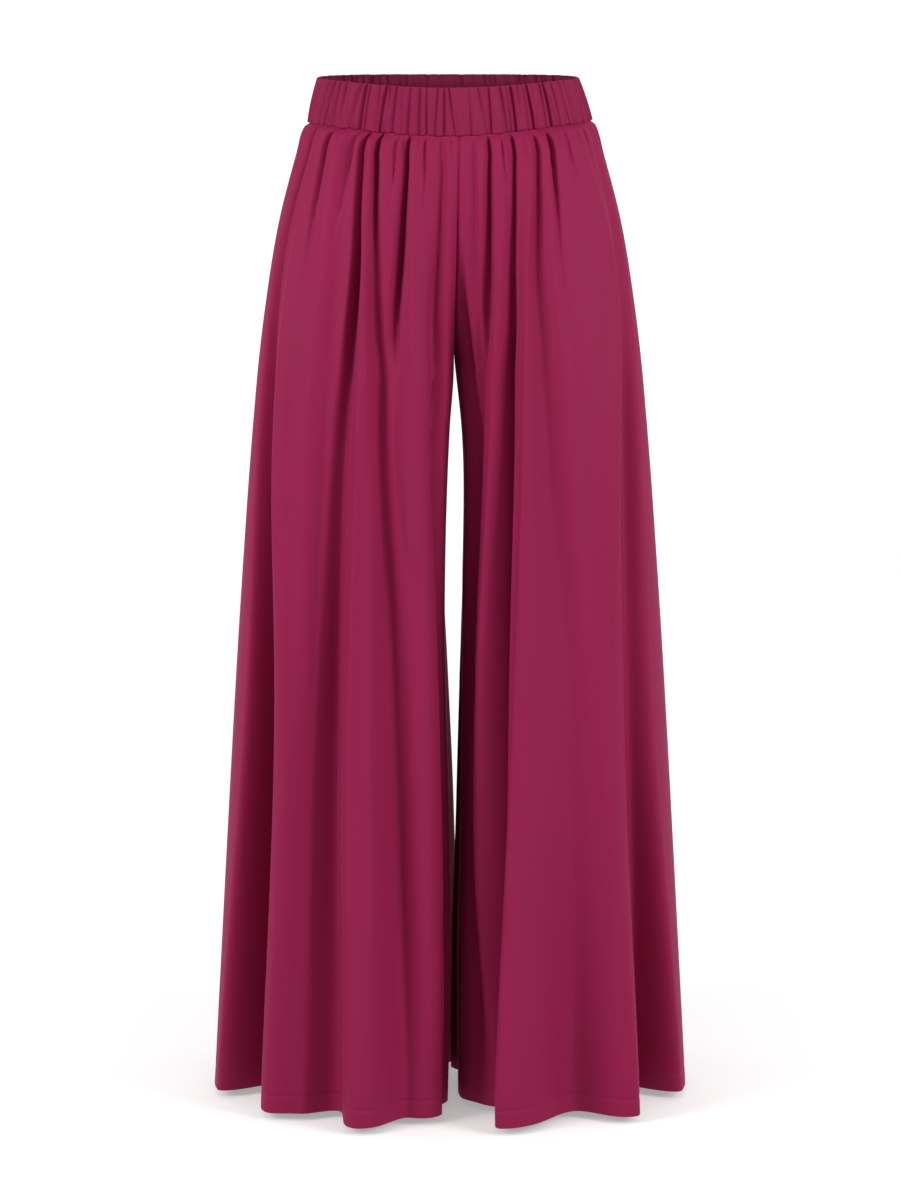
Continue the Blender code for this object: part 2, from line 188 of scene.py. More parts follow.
# ------------------------------------------------------------------------------------- waistband
# A strip of the same crepe folded over wide elastic and closed at the centre back. The elastic
# draws it in, so the cloth stands in small uneven puffs with sharp tucks between them.
MM = 0.001
SEAM_LEVEL = -0.021  # height of the waist seam at the sides
FRONT_DIP = 0.008  # how much lower the waist seam runs at the centre front
SEAM_GAP = 0.0002  # between two pieces that are sewn together
BAND_TOP = 0.0215
BAND_FRONT_DIP = 0.0042  # how much lower the top edge runs at the front
BAND_BACK_DIP = 0.0025
BAND_WALL = 0.0042  # from the plain ring to the inner face
TOP_WALL = 0.0012  # the same at the folded top edge
TOP_THINNING = 0.75  # share of the height from which the wall thins towards it
BAND_LOW = dict(half_width=0.1381, depth=0.0885, shift=0.0)
BAND_HIGH = dict(half_width=0.1262, depth=0.0846, shift=-0.0020)
BAND_BULGE = 0.0010  # how far the band rounds out halfway up
PUFF = 0.0020  # how far the puffs stand out
EDGE_ROUND = 0.0012  # radius of the folded top edge
SEAM_ROUND = 0.8 * EDGE_ROUND  # and of the edge at the waist seam
ROUND_SHARE = 0.45  # of the wall, which is all that the rounding of an edge takes from each face
EDGE_SCALLOP = 0.1  # how far the top edge sinks at a tuck, as a share of the tuck's depth
BAND_COLUMNS = 1900  # round the band, from the centre back
FRONT_SPREAD = 0.6  # distance between columns at the front, as a share of an even one
BAND_ROWS = (
    np.array([0, 0.3, 0.8, 1.6, 3, 6, 10, 15, 20, 25, 30, 34, 36.8, 38, 38.8, 39.4, 39.8, 40]) / 40
)

# The crepe: its light and its deep tone, and how it takes the light.
CREPE = (0.335, 0.0120, 0.0790)
CREPE_DEEP = (0.285, 0.0096, 0.0650)
# Painted shade: the inner faces of the band and the legs are darkened for the shade inside them.
INSIDE_PAINTED_SHADE = (0.70, 0.66, 0.68)  # painted shade: share of its colour that the crepe keeps on inner faces
# Painted shade: the band's crepe is darkened for the shade among its close gathers.
BAND_PAINTED_SHADE = 0.90  # painted shade: share of its colour kept by the gathered band
CREPE_ROUGHNESS = 0.62
CREPE_GLOSS = 0.18
SHEEN = 0.35
SHEEN_ROUGHNESS = 0.18
SHEEN_TINT = (1.0, 0.28, 0.50)
PEBBLE_HEIGHT = 0.00022
PEBBLE_STRENGTH = 0.55
SHARP_ANGLE = np.radians(60)  # faces that meet more sharply than this aren't smoothed together

# Tucks of the front, from the wearer's right to left. top, bottom: mm from the middle at the band's
# edges. deep_top, deep_bottom: how far the cloth is drawn in there, in mm. right, left: mm over
# which it comes out again towards the wearer's right and left.
Tuck = namedtuple("Tuck", "top bottom deep_top deep_bottom right left")
FRONT_TUCKS = [
    Tuck(-125, -136, 3.0, 2.6, 5.0, 3.0),
    Tuck(-122, -134, 4.8, 3.6, 7.0, 3.0),
    Tuck(-115, -126, 4.6, 4.0, 7.0, 2.6),
    Tuck(-110, -121, 3.4, 3.2, 4.5, 2.4),
    Tuck(-104, -113, 3.2, 1.6, 4.0, 2.2),
    Tuck(-98, -106, 4.2, 1.0, 5.5, 2.0),
    Tuck(-98, -96, 0.0, 3.2, 5.0, 2.0),
    Tuck(-84, -96, 4.0, 2.4, 8.0, 1.8),
    Tuck(-79, -86, 4.2, 4.0, 4.0, 1.4),
    Tuck(-75, -82, 2.2, 2.0, 2.5, 1.6),
    Tuck(-66, -71, 2.8, 1.6, 7.0, 2.0),
    Tuck(-60, -67, 4.6, 3.8, 4.0, 1.5),
    Tuck(-57, -58, 2.8, 0.0, 3.0, 1.6),
    Tuck(-50, -55, 3.6, 3.4, 6.0, 1.5),
    Tuck(-45, -47, 1.6, 1.8, 3.0, 2.0),
    Tuck(-37, -40, 3.4, 3.6, 7.0, 1.5),
    Tuck(-28, -29, 3.6, 3.6, 8.0, 1.5),
    Tuck(-22, -22, 3.0, 3.2, 4.0, 1.4),
    Tuck(-11, -14, 3.6, 3.6, 5.5, 1.5),
    Tuck(-5, -5, 3.6, 3.6, 4.5, 1.4),
    Tuck(-1, 5, 3.4, 2.8, 2.5, 1.8),
    Tuck(4, 8, 0.6, 1.8, 2.5, 1.6),
    Tuck(18, 21, 2.8, 3.6, 6.0, 2.0),
    Tuck(27, 35, 3.8, 2.4, 5.0, 2.0),
    Tuck(32, 36, 1.8, 0.0, 2.5, 1.6),
    Tuck(37, 40, 3.6, 3.8, 3.5, 1.6),
    Tuck(48, 55, 3.8, 2.8, 5.0, 1.8),
    Tuck(53, 59, 1.6, 2.2, 2.5, 1.6),
    Tuck(58, 64, 4.6, 4.4, 3.5, 1.7),
    Tuck(64, 68, 2.6, 0.0, 3.5, 2.0),
    Tuck(69, 75, 1.6, 1.6, 2.5, 2.0),
    Tuck(73, 81, 4.0, 4.0, 3.0, 1.6),
    Tuck(85, 92, 2.6, 1.6, 3.5, 1.8),
    Tuck(89, 98, 3.8, 4.0, 3.5, 1.6),
    Tuck(96, 106, 2.0, 1.4, 3.0, 2.0),
    Tuck(104, 111, 2.0, 0.8, 3.0, 2.0),
    Tuck(112, 119, 0.6, 2.2, 3.0, 3.0),
    Tuck(118, 129, 1.8, 2.2, 2.5, 1.8),
    Tuck(122, 133, 1.4, 1.8, 2.0, 1.6),
]
# The other tucks are spread evenly and then put out of step: how many, their depths in mm, and mm
# on their steep and slow sides. slant: how far one leans over the band's height, in radians.
Spread = namedtuple("Spread", "count depth steep slow slant seed")
REST_TUCKS = Spread(66, (1.6, 4.0), (1.3, 1.8), (4.0, 8.0), 0.035, 11)  # round the sides and back
FINE_TUCKS = Spread(130, (0.3, 1.4), (0.8, 1.3), (1.5, 3.5), 0.04, 7)  # between all the others
INNER_TUCKS = Spread(112, (1.2, 3.2), (1.0, 1.6), (2.5, 5.0), 0.03, 5)  # round the inner face
TUCK_STRAY = 0.4  # how far a tuck strays from its even place, as a share of the step between two
TUCK_POWER = 1.4  # how sharp the bottom of a tuck is; 1 is a plain notch
LEAST_WALL = 0.0006  # left between the two faces where their tucks meet
JOIN_HALF = 0.0030  # half width of the groove where the strip's ends are sewn together
JOIN_DEPTH = 0.0011

# The seam that joins the band and the panels wavers: the length of each wave as a share of the
# garment's half width, its height in mm, and where it starts.
SEAM_WAVES = [(4.0, 1.0, 0.0), (0.23, 0.30, 0.4), (0.137, 0.28, 2.1), (0.081, 0.20, 1.0)]


class Wire:
    """A shader number that can be used in sums: each operator adds the Math node that it needs."""

    def __init__(self, tree, socket):
        self.tree = tree
        self.socket = socket

    def math(self, operation, first, second):
        """A Math node that works on two numbers, which may be wires."""
        node = add_node(
            self.tree, "ShaderNodeMath", {"operation": operation}, {0: first, 1: second}
        )
        return Wire(self.tree, node.outputs[0])

    def __add__(self, other):
        return self.math("ADD", self, other)

    def __sub__(self, other):
        return self.math("SUBTRACT", self, other)

    def __rsub__(self, other):
        return self.math("SUBTRACT", other, self)

    def __mul__(self, other):
        return self.math("MULTIPLY", self, other)

    __radd__ = __add__
    __rmul__ = __mul__


def crepe(name, light, deep):
    """Plain crepe on a piece's own flat cloth coordinates, in metres.

    Twisted yarns give it a pebbled grain of about a millimetre, a little longer down the cloth than
    across. Its colour drifts in faint streaks along the warp, and its sheen is soft. Where the
    attribute painted_inside_shade is 1, the colour is multiplied by INSIDE_PAINTED_SHADE, which
    paints shade on the inner faces.
    """
    material = bpy.data.materials.new(name)
    material.use_nodes = True
    tree = material.node_tree
    cloth = add_node(tree, "ShaderNodeUVMap", {"uv_map": "cloth"}, {}).outputs["UV"]

    def noise(across, down, detail):
        """Noise with so many grains to a metre across and down the cloth."""
        stretched = add_node(
            tree, "ShaderNodeMapping", {}, {"Vector": cloth, "Scale": (across, down, 1)}
        )
        node = add_node(
            tree,
            "ShaderNodeTexNoise",
            {"noise_dimensions": "2D"},
            {"Vector": stretched.outputs["Vector"], "Scale": 1.0, "Detail": detail},
        )
        return Wire(tree, node.outputs["Fac"])

    grain = noise(900, 620, 2)
    fibre = noise(3200, 2400, 1)
    streak = noise(190, 5, 2)
    drift = noise(14, 6, 2)
    tone = streak * 0.45 + drift * 0.40 + grain * 0.55 - 0.2  # 0 is deep, 1 light, the mean 0.5
    yarn = add_node(
        tree,
        "ShaderNodeMix",
        {"data_type": "RGBA"},
        {"Factor": tone, "A": (*deep, 1), "B": (*light, 1)},
    )
    # Painted shade: darkens the inner faces.
    painted_inside_shade = add_node(tree, "ShaderNodeAttribute", {"attribute_name": "painted_inside_shade"}, {})
    color = add_node(
        tree,
        "ShaderNodeMix",
        {"data_type": "RGBA", "blend_type": "MULTIPLY"},
        {"Factor": painted_inside_shade.outputs["Fac"], "A": yarn.outputs["Result"], "B": (*INSIDE_PAINTED_SHADE, 1)},
    )
    pebbles = add_node(
        tree,
        "ShaderNodeBump",
        {},
        {
            "Height": grain * 0.7 + fibre * 0.3,
            "Strength": PEBBLE_STRENGTH,
            "Distance": PEBBLE_HEIGHT,
        },
    )
    shader = tree.nodes["Principled BSDF"]
    tree.links.new(color.outputs["Result"], shader.inputs["Base Color"])
    tree.links.new((grain * 0.12 + CREPE_ROUGHNESS).socket, shader.inputs["Roughness"])
    tree.links.new(pebbles.outputs["Normal"], shader.inputs["Normal"])
    shader.inputs["Specular IOR Level"].default_value = CREPE_GLOSS
    shader.inputs["Sheen Weight"].default_value = SHEEN
    shader.inputs["Sheen Roughness"].default_value = SHEEN_ROUGHNESS
    shader.inputs["Sheen Tint"].default_value = (*SHEEN_TINT, 1)
    return material


def ease(x):
    """0 below 0, 1 above 1, and level at both ends."""
    x = np.clip(x, 0, 1)
    return x * x * (3 - 2 * x)


def unit(vectors):
    """Each vector divided by its length."""
    return vectors / np.linalg.norm(vectors, axis=-1, keepdims=True)


def outward(points, turned):
    """The unit normal at each point of a grid: the cross product of its two grid directions."""
    normal = np.cross(np.gradient(points, axis=1), np.gradient(points, axis=0))
    return unit(-normal if turned else normal)


def cloth_piece(name, outer, inner, flat, turned, material):
    """A closed sheet between two grids of points, with flat as its cloth coordinates in metres.

    Both grids are split into the same quads, and strips close the four edges between them.
    turned swaps which side faces out. The attribute painted_inside_shade is 0 on outer and 1 on
    inner, where the crepe paints shade.
    """
    rows, columns = outer.shape[:2]
    front = np.arange(rows * columns).reshape(rows, columns)
    back = front + rows * columns

    def sheet(grid):
        """The quads of a grid of point numbers."""
        corners = [grid[:-1, :-1], grid[:-1, 1:], grid[1:, 1:], grid[1:, :-1]]
        return np.stack(corners, axis=-1).reshape(-1, 4)

    def strip(near, far):
        """The quads between two lines of point numbers."""
        return np.stack([near[:-1], near[1:], far[1:], far[:-1]], axis=-1).reshape(-1, 4)

    faces = np.concatenate(
        [
            sheet(front),
            sheet(back)[:, [0, 3, 2, 1]],
            strip(back[0], front[0]),
            strip(front[-1], back[-1]),
            strip(front[:, 0], back[:, 0]),
            strip(back[:, -1], front[:, -1]),
        ]
    )
    if turned:
        faces = faces[:, ::-1]
    points = np.concatenate([outer.reshape(-1, 3), inner.reshape(-1, 3)])
    mesh = bpy.data.meshes.new(name)
    mesh.vertices.add(len(points))
    mesh.vertices.foreach_set("co", points.astype(np.float32).ravel())
    mesh.loops.add(faces.size)
    mesh.loops.foreach_set("vertex_index", faces.astype(np.int32).ravel())
    mesh.polygons.add(len(faces))
    mesh.polygons.foreach_set("loop_start", np.arange(0, faces.size, 4, dtype=np.int32))
    mesh.update(calc_edges=True)
    layer = mesh.uv_layers.new(name="cloth")
    both_sides = np.concatenate([flat.reshape(-1, 2)] * 2)
    layer.uv.foreach_set("vector", both_sides[faces.ravel()].astype(np.float32).ravel())
    # Marks the inner faces, where the crepe paints shade.
    painted_inside_shade = mesh.attributes.new("painted_inside_shade", "FLOAT", "POINT")
    painted_inside_shade.data.foreach_set("value", np.repeat([0.0, 1.0], rows * columns).astype(np.float32))
    mesh.materials.append(material)
    mesh.shade_smooth()
    mesh.set_sharp_from_angle(angle=SHARP_ANGLE)
    mesh.validate()
    piece = bpy.data.objects.new(name, mesh)
    bpy.context.scene.collection.objects.link(piece)
    return piece


def along(points, axis):
    """Distance travelled along each line of a grid, from its first point."""
    steps = np.linalg.norm(np.diff(points, axis=axis), axis=-1)
    start = np.zeros_like(np.take(steps, [0], axis=axis))
    return np.concatenate([start, np.cumsum(steps, axis=axis)], axis=axis)


def seam_wave(share):
    """How far the waist seam wavers up or down: a sum of sines of the share of the half width."""
    return sum(
        height * MM * np.sin(2 * np.pi * share / length + start)
        for length, height, start in SEAM_WAVES
    )


def band_ring(up, angle):
    """Points of the band's plain ring, and their outward directions.

    angle is 0 at the front and runs to the wearer's left, and up goes from 0 at the seam to 1. The
    ring is an ellipse that narrows upwards in a straight line, plus a parabola that is BAND_BULGE
    halfway up. Both edges dip at the front with the fourth power of the angle's cosine, and the top
    edge dips at the back with its square. The seam's wavering dies out with the cube of 1 - up.
    """
    size = {key: BAND_LOW[key] + (BAND_HIGH[key] - BAND_LOW[key]) * up for key in BAND_LOW}
    bulge = BAND_BULGE * 4 * up * (1 - up)
    front = np.clip(np.cos(angle), 0, 1) ** 4
    back = np.clip(-np.cos(angle), 0, 1) ** 2
    bottom = SEAM_LEVEL + SEAM_GAP - FRONT_DIP * front
    top = BAND_TOP - BAND_FRONT_DIP * front - BAND_BACK_DIP * back
    points = np.stack(
        [
            (size["half_width"] + bulge) * np.sin(angle) + size["shift"],
            -(size["depth"] + bulge) * np.cos(angle),
            bottom + (top - bottom) * up + seam_wave(np.sin(angle)) * (1 - up) ** 3,
        ],
        axis=-1,
    )
    out = np.stack(
        [np.sin(angle) / size["half_width"], -np.cos(angle) / size["depth"], 0 * angle * up],
        axis=-1,
    )
    return points, unit(out)


def spread_tucks(spread, start, end):
    """Tucks between two angles, a column each: bottom and top angle and depth, and both widths.

    About half of them, picked at random, are turned to have their steep side on the wearer's left.
    """
    random = np.random.default_rng(spread.seed)
    step = (end - start) / (spread.count + 1)
    stray = random.uniform(-TUCK_STRAY, TUCK_STRAY, spread.count)
    low = start + step * (np.arange(1, spread.count + 1) + stray)
    high = low + random.uniform(-spread.slant, spread.slant, spread.count)
    deep = random.uniform(*spread.depth, (2, spread.count)) * MM
    steep = random.uniform(*spread.steep, spread.count)
    slow = random.uniform(*spread.slow, spread.count)
    sides = np.stack([steep, slow]) * MM
    turned = random.random(spread.count) < 0.5
    sides[:, turned] = sides[::-1, turned]
    return np.stack([low, high, *deep, *sides])


def drawn_in(up, angle, radius, tucks):
    """How far the tucks draw the cloth in, at each height and angle.

    closeness is 1 on a tuck's line and falls evenly to 0 at its width to the right or left. A tuck
    draws in by its depth times closeness to the power of TUCK_POWER, and the deepest one counts.
    """
    depth = np.zeros_like(up * angle)
    for low, high, deep_low, deep_high, right, left in tucks.T:
        line = low + (high - low) * up
        off = (angle - line + np.pi) % (2 * np.pi) - np.pi
        closeness = np.clip(1 - np.abs(off) * radius / np.where(off < 0, right, left), 0, 1)
        depth = np.maximum(depth, (deep_low + (deep_high - deep_low) * up) * closeness**TUCK_POWER)
    return depth


def waistband():
    """The folded strip: both faces are the plain ring, moved in and out along its directions.

    The outer face lies PUFF outside the ring, less the depth of its tucks, and the inner face lies
    the wall inside it, less the depth of its own. At the two edges they turn towards each other in
    quarter circles, and the top edge sinks a little at each tuck. A groove at the centre back shows
    where the ends of the strip meet.
    """
    up = BAND_ROWS[:, None]
    share = np.linspace(-1, 1, BAND_COLUMNS)[None, :]
    angle = np.pi * (FRONT_SPREAD * share + (1 - FRONT_SPREAD) * share**3)
    ring, out = band_ring(up, angle)
    radius = np.hypot(ring[..., 0], ring[..., 1])
    top, bottom, deep_top, deep_bottom, right, left = np.array(FRONT_TUCKS).T * MM
    low = np.arcsin((bottom - BAND_LOW["shift"]) / BAND_LOW["half_width"])
    high = np.arcsin(np.clip((top - BAND_HIGH["shift"]) / BAND_HIGH["half_width"], -1, 1))
    front = np.stack([low, high, deep_bottom, deep_top, right, left])
    rest = spread_tucks(REST_TUCKS, low[-1], low[0] + 2 * np.pi)
    fine = spread_tucks(FINE_TUCKS, -np.pi, np.pi)
    depth = drawn_in(up, angle, radius, np.concatenate([front, rest, fine], axis=1))
    inner_depth = drawn_in(up, angle, radius, spread_tucks(INNER_TUCKS, -np.pi, np.pi))
    wall = BAND_WALL - (BAND_WALL - TOP_WALL) * ease((up - TOP_THINNING) / (1 - TOP_THINNING))
    inner_depth = np.minimum(inner_depth, wall + PUFF - LEAST_WALL - depth)
    from_join = (np.pi - np.abs(angle)) * radius
    depth = depth * ease(from_join / JOIN_HALF) + JOIN_DEPTH * (1 - ease(from_join / JOIN_HALF))
    height = ring[-1:, :, 2] - ring[:1, :, 2]
    from_top = (1 - up) * height
    from_bottom = up * height

    def rounded(distance, radius):
        """How far a face has turned in at this distance from an edge of this radius."""
        return radius * (1 - np.sqrt(1 - np.clip(1 - distance / radius, 0, 1) ** 2))

    edge = rounded(from_top, EDGE_ROUND) + rounded(from_bottom, SEAM_ROUND)
    edge = np.minimum(edge, ROUND_SHARE * (wall + PUFF - depth - inner_depth))
    outer = ring + out * (PUFF - depth - edge)[..., None]
    inner = ring + out * (inner_depth - wall + edge)[..., None]
    sunk = EDGE_SCALLOP * np.maximum(depth, inner_depth) * up**6
    outer[..., 2] -= sunk
    inner[..., 2] -= sunk
    flat = np.stack([np.broadcast_to(along(ring, 1), depth.shape), along(ring, 0)], axis=-1)
    # Painted shade: the band's colours are darkened by BAND_PAINTED_SHADE.
    shaded_tones = [tuple(BAND_PAINTED_SHADE * part for part in tone) for tone in (CREPE, CREPE_DEEP)]
    finish = crepe("crepe_waistband", *shaded_tones)
    piece = cloth_piece("waistband_casing", outer, inner, flat, False, finish)
    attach(piece, "root")
    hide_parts("waistband")
    return piece


waistband()

# ------------------------------------------------------------------------------------ leg panels
# Four flared panels of crepe, gathered into the band, joined by plain seams at the sides, at the
# centre front and back and inside the legs, and turned up at the hem with blind stitches.
SIDE_LENGTH = 0.983  # waist seam to hem, straight down at the sides
RISE = 0.233  # waist seam to crotch
CENTRE_SHIFT = 0.009  # the centre front seam hangs this far to the wearer's left
CROTCH_SHIFT = 0.004  # and the crotch this far
CLOTH = 0.0006
HEM_CLOTH = 0.0014  # the turned hem is doubled
HEM_TURN = 0.018
HEM_STEP = 0.001  # the wall goes from the one to the other over this drop
HEM_GROOVE = 0.0007  # how far the cloth sinks at the line of blind stitches
HEM_GROOVE_HALF = 0.0016
SEAM_DITCH = 0.0022  # how far the cloth sinks at a sewn edge
SEAM_DITCH_HALF = 0.0030
WAIST_DITCH = 0.0003  # the same at the waist seam
WAIST_DITCH_HALF = 0.0025
SEWN_DROP = 0.005  # the top edge is drawn in to the band's ring over this drop
SEAM_WAVE_DROP = 0.015  # the seam's wavering has died out this far below it

# A row for each drop below the waist seam. half_width: body's middle to side seam. middle: to where
# the leg's ring is deepest. front, back: depth there. side_back: how far back the side seam hangs.
# right_inner, left_inner: to the inseam of each leg. right_corner, left_corner: how square the ring
# of each leg is on its inner side. face: side seam to where the cloth turns in between the legs.
Section = namedtuple(
    "Section",
    "drop half_width middle front back side_back right_inner left_inner"
    " right_corner left_corner face",
)
SECTIONS = [
    Section(0.000, 0.1405, 0.012, 0.088, 0.090, 0.000, 0.000, 0.000, 2.0, 2.0, 0.158),
    Section(0.008, 0.1445, 0.016, 0.092, 0.094, 0.000, 0.000, 0.000, 2.1, 2.0, 0.164),
    Section(0.030, 0.1505, 0.028, 0.097, 0.100, 0.000, 0.000, 0.000, 2.6, 2.1, 0.174),
    Section(0.090, 0.1665, 0.056, 0.105, 0.115, 0.000, 0.000, 0.000, 4.0, 2.5, 0.194),
    Section(0.180, 0.1822, 0.084, 0.110, 0.124, 0.000, 0.000, 0.000, 5.5, 2.9, 0.212),
    Section(0.233, 0.1890, 0.095, 0.112, 0.124, 0.000, -0.004, 0.004, 5.5, 3.0, 0.224),
    Section(0.300, 0.1955, 0.101, 0.113, 0.122, 0.001, 0.000, 0.011, 5.0, 3.0, 0.231),
    Section(0.478, 0.2095, 0.109, 0.113, 0.122, 0.006, 0.005, 0.012, 4.8, 2.8, 0.245),
    Section(0.720, 0.2253, 0.116, 0.114, 0.126, 0.014, 0.000, 0.010, 5.2, 2.8, 0.262),
    Section(0.850, 0.2332, 0.120, 0.115, 0.130, 0.020, -0.001, 0.007, 5.6, 2.8, 0.273),
    Section(0.983, 0.2412, 0.124, 0.116, 0.134, 0.026, 0.002, 0.008, 6.0, 3.0, 0.283),
]
OUTER_CORNER = 2.15  # how square the ring is towards the side seam; 2 is an ellipse
FRONT_RISE_CORNER = 2.3  # how squarely the rise seam turns under between the legs
BACK_RISE_CORNER = 2.2
DEEPEST_CUT = 0.9995  # the cut-off quarter ring keeps at least this little of its width

FACE_COLUMNS = 222  # across the face of a panel, an equal step of cloth apart
TURN_COLUMNS = 38  # across the strip that turns in between the legs
# Rows of a panel's grid, in mm under the waist seam, closest together there and at the hem.
ROW_DROPS = np.concatenate(
    [
        np.arange(0, 12, 1.0),
        np.arange(12, 44, 2.0),
        np.arange(44, 240, 4.0),
        np.linspace(240, 950, 90),
        np.arange(952, 983, 1.5),
        [983],
    ]
) * MM

# at: distance from the side seam, and height: how far out (+) or in (-), both in mm at the
# STATIONS. outer, inner: half widths in mm towards the side seam and the inseam, as (top, hem).
# lean: degrees by which the push turns from straight out towards the inseam.
Fold = namedtuple("Fold", "at height outer inner lean")
STATIONS = np.array([0.020, 0.120, 0.270, 0.550, 0.950])

# A short tuck under the waist seam. at, depth, outer, inner: its place, depth and half widths in mm
# at the seam, as a fold's. length: where it has faded, in metres down.
Gather = namedtuple("Gather", "at depth outer inner length")
GATHER_POWER = 1.5  # how sharp its bottom is; 1 is a plain notch

FRONT_RIGHT_FOLDS = [
    Fold((44, 49, 64, 90, 82), (-8, -9, -19, -42, -70), (8, 46), (6, 56), 25),
    Fold((62, 75, 90, 115, 126), (2, 3, 6, 9, 4), (11, 16), (14, 34), 0),
    Fold((70, 93, 110, 123, 130), (-8, -2, 0, 0, 0), (4, 14), (4, 16), 0),
    Fold((84, 112, 127, 140, 150), (2, 3, 4, 4, 0), (12, 24), (13, 26), 0),
    Fold((100, 130, 144, 152, 176), (-2, -3, -6, -10, -10), (16, 50), (14, 34), 0),
    Fold((113, 149, 163, 175, 202), (-17, -18, -13, -22, -24), (6, 36), (2.5, 14), -8),
    Fold((119, 152, 175, 190, 220), (0, 2, 9, 18, 20), (5, 14), (9, 26), 0),
    Fold((121, 155, 188, 212, 244), (4, 6, 8, 20, 30), (6, 34), (7, 36), -8),
    Fold((128, 165, 197, 228, 278), (-14, -7, -11, -13, -11), (5, 40), (2.5, 40), 0),
    Fold((137, 178, 204, 246, 286), (3, 2, 0, 0, 0), (9, 16), (9, 16), 0),
    Fold((158, 190, 209, 252, 288), (-12, -15, 3, 0, 0), (9, 24), (2.5, 12), -8),
    Fold((167, 202, 231, 262, 290), (3, 5, 8, 10, 8), (7, 30), (14, 36), 0),
    Fold((192, 227, 255, 298, 330), (-4, -9, -12, -22, -14), (14, 14), (6, 34), 0),
    Fold((197, 236, 262, 306, 336), (2, 3, 2, 0, 0), (9, 26), (9, 30), 0),
]
FRONT_RIGHT_GATHERS = [
    Gather(12, 2.5, 5, 2, 0.05),
    Gather(23, 5.5, 6, 2, 0.09),
    Gather(37, 7.5, 9, 2, 0.12),
    Gather(48, 2.0, 4, 2, 0.03),
    Gather(55, 5.5, 12, 2, 0.15),
    Gather(69, 2.0, 4, 2, 0.03),
    Gather(78, 3.0, 8, 2, 0.045),
    Gather(86, 2.0, 4, 2, 0.025),
    Gather(94, 7.0, 19, 2, 0.12),
    Gather(127, 2.5, 4, 2, 0.03),
    Gather(136, 5.0, 14, 2, 0.09),
    Gather(142, 3.0, 4, 2, 0.035),
    Gather(157, 2.0, 4, 2, 0.03),
    Gather(163, 5.0, 12, 2, 0.12),
    Gather(171, 2.0, 3, 2, 0.025),
    Gather(181, 2.0, 14, 2, 0.10),
    Gather(187, 2.5, 6, 2, 0.07),
]
FRONT_LEFT_FOLDS = [
    Fold((36, 48, 73, 98, 84), (-2, -6, -16, -22, -60), (14, 44), (12, 54), 25),
    Fold((60, 66, 96, 116, 136), (1.5, 3, 5, 7, 14), (11, 18), (14, 42), 0),
    Fold((96, 130, 140, 150, 160), (-8, -1.5, 0, 0, 0), (2.5, 14), (8, 20), 0),
    Fold((106, 138, 151, 158, 175), (3, 4, 3, 2, 0), (10, 20), (10, 20), 0),
    Fold((112, 152, 171, 167, 190), (-6, -9, -6, -8, -24), (2.5, 46), (9, 42), 0),
    Fold((122, 160, 187, 214, 250), (4, 6, 10, 18, 40), (10, 44), (7, 22), 20),
    Fold((136, 176, 207, 240, 279), (-9, -11, -21, -35, -36), (2.5, 16), (9, 40), 12),
    Fold((151, 189, 221, 260, 300), (3, 4, 6, 8, -8), (9, 26), (8, 24), 0),
    Fold((160, 199, 242, 290, 318), (-8, -11, -16, -24, -16), (2.5, 24), (9, 34), 0),
    Fold((170, 208, 244, 300, 330), (3, 3, 0, 0, 0), (10, 18), (10, 18), 0),
    Fold((174, 212, 250, 300, 330), (-2, -5, -5, 0, 0), (5, 12), (12, 14), 0),
    Fold((190, 232, 264, 310, 340), (0, -4, -14, -8, -2), (10, 30), (12, 30), 0),
]
FRONT_LEFT_GATHERS = [
    Gather(14, 2.5, 2, 6, 0.05),
    Gather(27, 2.0, 2, 5, 0.03),
    Gather(44, 3.0, 2, 8, 0.07),
    Gather(57, 2.0, 2, 5, 0.04),
    Gather(71, 3.0, 2, 9, 0.08),
    Gather(80, 2.0, 2, 4, 0.03),
    Gather(98, 2.0, 2, 5, 0.035),
    Gather(115, 3.0, 2, 9, 0.09),
    Gather(137, 4.5, 2, 10, 0.09),
    Gather(157, 2.0, 2, 4, 0.03),
    Gather(163, 2.5, 2, 14, 0.12),
    Gather(175, 3.0, 2, 6, 0.04),
]
BACK_RIGHT_FOLDS = [
    Fold((36, 56, 78, 95, 98), (-3, -6, -12, -24, -38), (11, 32), (10, 34), 10),
    Fold((58, 86, 112, 136, 142), (1.5, 4, 6, 10, 18), (9, 26), (9, 28), 0),
    Fold((82, 114, 146, 172, 184), (-13, -17, -16, -20, -28), (6, 28), (6, 24), 0),
    Fold((101, 138, 176, 210, 228), (2.5, 5, 9, 16, 28), (8, 26), (9, 34), -15),
    Fold((123, 163, 206, 248, 272), (-15, -19, -16, -20, -26), (6, 30), (6, 30), 0),
    Fold((146, 190, 238, 286, 314), (2, 5, 6, 9, 16), (9, 28), (9, 30), 0),
    Fold((166, 216, 280, 336, 358), (-10, -10, -8, -8, -8), (6, 28), (7, 26), 0),
]
BACK_RIGHT_GATHERS = [
    Gather(18, 4.0, 8, 2, 0.10),
    Gather(50, 4.0, 8, 2, 0.09),
    Gather(70, 4.5, 2.5, 6, 0.12),
    Gather(93, 4.0, 7, 2, 0.08),
    Gather(112, 4.5, 7, 2, 0.11),
    Gather(136, 4.0, 2.5, 6, 0.08),
    Gather(156, 4.5, 7, 2, 0.12),
]
